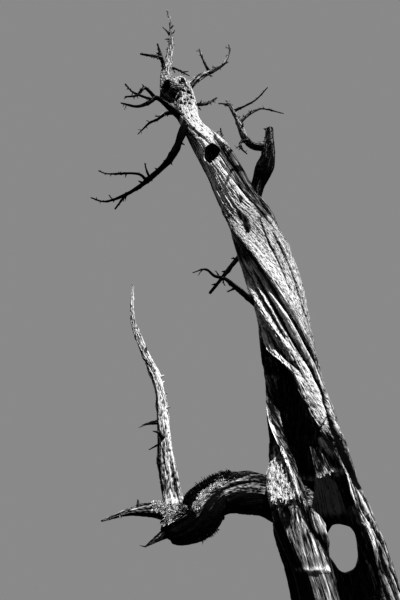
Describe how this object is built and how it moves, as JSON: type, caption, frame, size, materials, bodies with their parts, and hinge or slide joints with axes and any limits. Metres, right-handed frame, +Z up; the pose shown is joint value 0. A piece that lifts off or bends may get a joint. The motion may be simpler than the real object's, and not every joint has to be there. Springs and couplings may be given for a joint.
{
  "type": "dead tree",
  "caption": "Dead weathered tree: leaning, spirally grained hollow trunk with an opening through it, a heavy arched bough with an upright spire, and bare limbs and twigs at the top.",
  "frame": {"origin": "centre of the trunk's flat cut at ground level", "axes": "+Z up; +Y points away from the side that is seen in the picture; the trunk leans towards -X"},
  "size_m": [2.9489, 1.207, 9.2438],
  "materials": {
    "weathered_wood": "bare, silver-grey, deeply cracked along the grain",
    "twig_wood": "bare, darker grey, rough"
  },
  "bodies": {
    "root": {"arm_hook": "twig_wood", "back_stub_high": "weathered_wood", "back_stub_low": "weathered_wood", "bough_snag": "weathered_wood", "bough_stub": "weathered_wood", "broken_stump": "weathered_wood", "gnarled_arm": "weathered_wood", "gnarled_arm_twigs": "twig_wood", "gnarled_limb": "weathered_wood", "leader": "weathered_wood", "leader_side_twigs": "twig_wood", "leader_twigs": "twig_wood", "left_bough": "weathered_wood", "left_bough_twigs": "twig_wood", "left_fork_twigs": "twig_wood", "low_bough": "weathered_wood", "low_twigs": "twig_wood", "mid_stick": "twig_wood", "mid_twig": "twig_wood", "right_limb": "weathered_wood", "right_limb_twigs": "twig_wood", "right_twig": "twig_wood", "spire": "weathered_wood", "sweep_limb": "weathered_wood", "sweep_limb_twigs": "twig_wood", "trunk": "weathered_wood", "trunk_spur": "twig_wood"}
  },
  "joints": []
}
